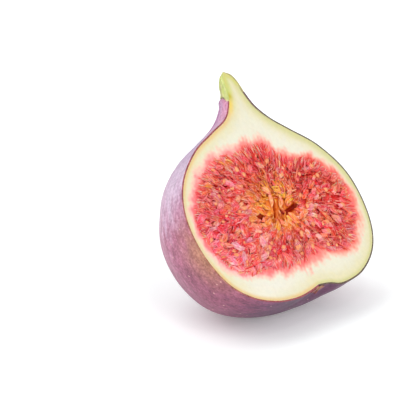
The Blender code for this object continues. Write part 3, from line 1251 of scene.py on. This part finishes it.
# %% [markdown]
# ## Fibres
#
# Where the pulp meets the wall there are no sacs, only the flowers' fine stalks.
# They run from the wall over the fringe and lose themselves between the sacs, and
# a tangle of more stalks fills the gaps there. Blender's curves with a bevel could
# make them, but as one grid each they take colours at their points like the sacs.
# Each is a thin tapered tube along a curve with three control points.

# %% Strands
STRAND_RINGS, STRAND_SIDES = 9, 5


def strands(starts, bends, ends, width):
    """Tapered tubes along quadratic curves from starts to ends, pulled to bends. The
    radius is half the width times the root of a sine arch. Returns the points and how
    far along each lies."""
    t = np.linspace(0, 1, STRAND_RINGS)[:, None]
    curve = (
        (1 - t) ** 2 * starts[:, None] + 2 * t * (1 - t) * bends[:, None] + t**2 * ends[:, None]
    )
    slope = unit(np.gradient(curve, axis=1))
    side = unit(np.cross(slope, TO_FRONT))
    up = np.cross(side, slope)
    radius = 0.5 * width[:, None, None] * np.sin(math.pi * t[None]) ** 0.5
    radius[:, [0, -1]] = 0
    turn = np.arange(STRAND_SIDES) * 2 * math.pi / STRAND_SIDES
    ring_side = np.cos(turn)[None, None, :, None] * side[:, :, None]
    ring_up = np.sin(turn)[None, None, :, None] * up[:, :, None]
    points = curve[:, :, None] + radius[..., None] * (ring_side + ring_up)
    return points, np.broadcast_to(t, (STRAND_RINGS, STRAND_SIDES))


def add_strands(name, points, tint):
    """One piece of many strands."""
    faces = repeated_faces(len(points), STRAND_RINGS, STRAND_SIDES)
    add_piece(name, points, faces, pulp_material, tint)


# %% The tangle between the sacs
DIP = 0.5
pick = np.random.default_rng(85)
x, z, angle, _ = spiral(640, 86, 0.36, 1.0)
tangle = len(x)
way = inward(x, z, angle, 87, 0.45, (-0.1, 0.2))
half = pick.uniform(1.2, 2.5, tangle)[:, None]
middles = np.stack([x, pulp_depth(x, z) - 0.75 - pick.uniform(0.0, 0.4, tangle), z], axis=1)
starts, ends = middles - way * half, middles + way * half
starts[:, 1] += DIP
ends[:, 1] += DIP
bends = middles + pick.normal(0, 1.0, (tangle, 3)) * [1, 0.1, 1]
points, along = strands(starts, bends, ends, pick.uniform(0.14, 0.36, tangle))
own = layered(
    ROSE,
    (PINK, 0.8 * pick.random(tangle)),
    (DEEP_RED, (pick.random(tangle) < 0.35) * 0.8),
    (HONEY, warmth(x, z)),
)
own = (own * ripeness(x, z))[:, None, None]
add_strands("pulp_tangle", points, mix(own, RED, 0.4 * np.abs(2 * along - 1)))

# %% Fibres over the fringe
STRANDS = 680
pick = np.random.default_rng(81)
swept = np.cumsum(pulp_reach(ALL_ROUND))
angle = np.interp(pick.uniform(0, swept[-1], STRANDS), swept, ALL_ROUND)
reach = pulp_reach(angle)
soft = fringe_width(angle)
out_at = reach + pick.uniform(-1.2, 0.4, STRANDS) - 0.3 * (soft - 1)
in_at = reach - pick.uniform(1.2, 3.6, STRANDS) - soft
drift = pick.normal(0, 1.0, STRANDS) / reach
start_x, start_z = from_middle(out_at, angle)
end_x, end_z = from_middle(in_at, angle + drift)
starts = np.stack([start_x, np.full(STRANDS, 0.05), start_z], axis=1)
ends = np.stack([end_x, pulp_depth(end_x, end_z) - 0.15, end_z], axis=1)
bends = (starts + ends) / 2
bends[:, 1] -= pick.uniform(0.05, 0.35, STRANDS)
bends[:, [0, 2]] += pick.normal(0, 0.5, (STRANDS, 2))
width = pick.uniform(0.16, 0.34, STRANDS)
points, along = strands(starts, bends, ends, width)
own = layered(
    SALMON,
    (PINK, pick.random(STRANDS) * 0.7),
    (BLUSH, (pick.random(STRANDS) < 0.3) * 0.8),
    (RED, (pick.random(STRANDS) < 0.25) * 0.7),
)[:, None, None, :]
add_strands("pulp_fibres", points, mix(own, RED, 0.5 * ease(along, 0.5, 1.0)))

# %% [markdown]
# ## Stem
#
# The stem is green and tougher than the skin, with faint ridges along it. It is a
# shell as well, thicker than the skin, and it closes over the tip. Where the body's
# skin ends, its lip stands out a little from the stem.

# %% Stem shape and colours
STEM_THICKNESS, STEM_RADIUS = 0.45, 4
YELLOW_GREEN = (0.72, 0.74, 0.28)
TIP_GREEN = (0.66, 0.66, 0.20)
STRAW = (0.80, 0.68, 0.36)
BARK = (0.20, 0.16, 0.08)
STEM_RIM = (0.42, 0.33, 0.12)
DRY = (0.30, 0.20, 0.08)


def stem_relief(height, around):
    """Ridges that follow the cosine of the angle, pinched in where the skin's lip
    ends and pressed smooth at the tip and at the cut."""
    bumps = ripple(around * STEM_RADIUS, height * BODY_LENGTH, 2.5, 91)
    ridges = 0.07 * np.cos(14 * around + 8 * height) + 0.08 * bumps
    above = height - seam(around)
    pinch = -0.30 * (1 - ease(above, 0.0, 0.035)) - 0.40 * ease(above, 0.0, 0.03)
    return (ridges + pinch) * ease(1 - height, 0.0, 0.08) * ease(np.sin(around), 0.0, 0.35)


def stem_tint(height, around, rim):
    """Fresh green, yellower in patches and at the tip, with one dry line lengthwise.
    The notch under the skin's lip is straw at the edges and bark brown behind, the
    right rim is brown, and the very end is dry."""
    patch = 0.5 + 0.35 * ripple(around * STEM_RADIUS, height * BODY_LENGTH, 3.0, 92)
    notch = mix(STRAW, BARK, ease(np.sin(around), 0.18, 0.40))
    return layered(
        STEM_GREEN,
        (YELLOW_GREEN, ease(patch, 0.2, 0.9)),
        (TIP_GREEN, ease(height, 0.93, 0.98)),
        (notch, 1 - ease(height - seam(around), 0.004, 0.013)),
        (DRY, 0.7 * bell((around - 2.45) / 0.16)),
        (mix(STEM_RIM, STEM_GREEN, ease(around, 1.0, 2.2)), 0.8 * rim),
        (DRY, ease(height, 0.985, 0.999)),
    )


# %% Stem material and piece
stem_material, tree, shader = new_material("stem", {
    "Roughness": 0.5, "Subsurface Weight": 0.15, "Subsurface Radius": (0.8, 1.0, 0.3),
    "Subsurface Scale": 0.0008,
})
lines = noise(tree, 0.0007, 3.0, (1, 7, 1), flat=True)
colour = blend(tree, "MULTIPLY", 0.5, tint_of(tree), ramp(tree, lines, (0.3, 0.6), (0.62, 1.0)))
tree.links.new(colour, shader.inputs["Base Color"])
add_bump(tree, shader, lines, 0.5, 0.00015)

STEM_ROWS, STEM_COLUMNS, STEM_TIP = 90, 61, 0.9993
stem_low = seam(across_shell(STEM_COLUMNS))
points, height, around, rim = shell(
    STEM_ROWS, STEM_COLUMNS, stem_low, STEM_TIP, STEM_THICKNESS, stem_relief
)
flat = np.stack([around * STEM_RADIUS, height * BODY_LENGTH], axis=-1) * MM
add_piece(
    "fig_stem", points, grid_faces(*height.shape, closed=True), stem_material,
    stem_tint(height, around, rim), flat, math.radians(50),
)

# %% [markdown]
# ## Measuring
#
# The box of the finished pieces is measured and kept beside the solid's, and its size printed.

# %% Finish
low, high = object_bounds()
sizes = {"cad": [list(cad_low), list(cad_high)], "visual": [list(low), list(high)]}
print("visual model, mm:", [round(side * 1000, 1) for side in high - low])
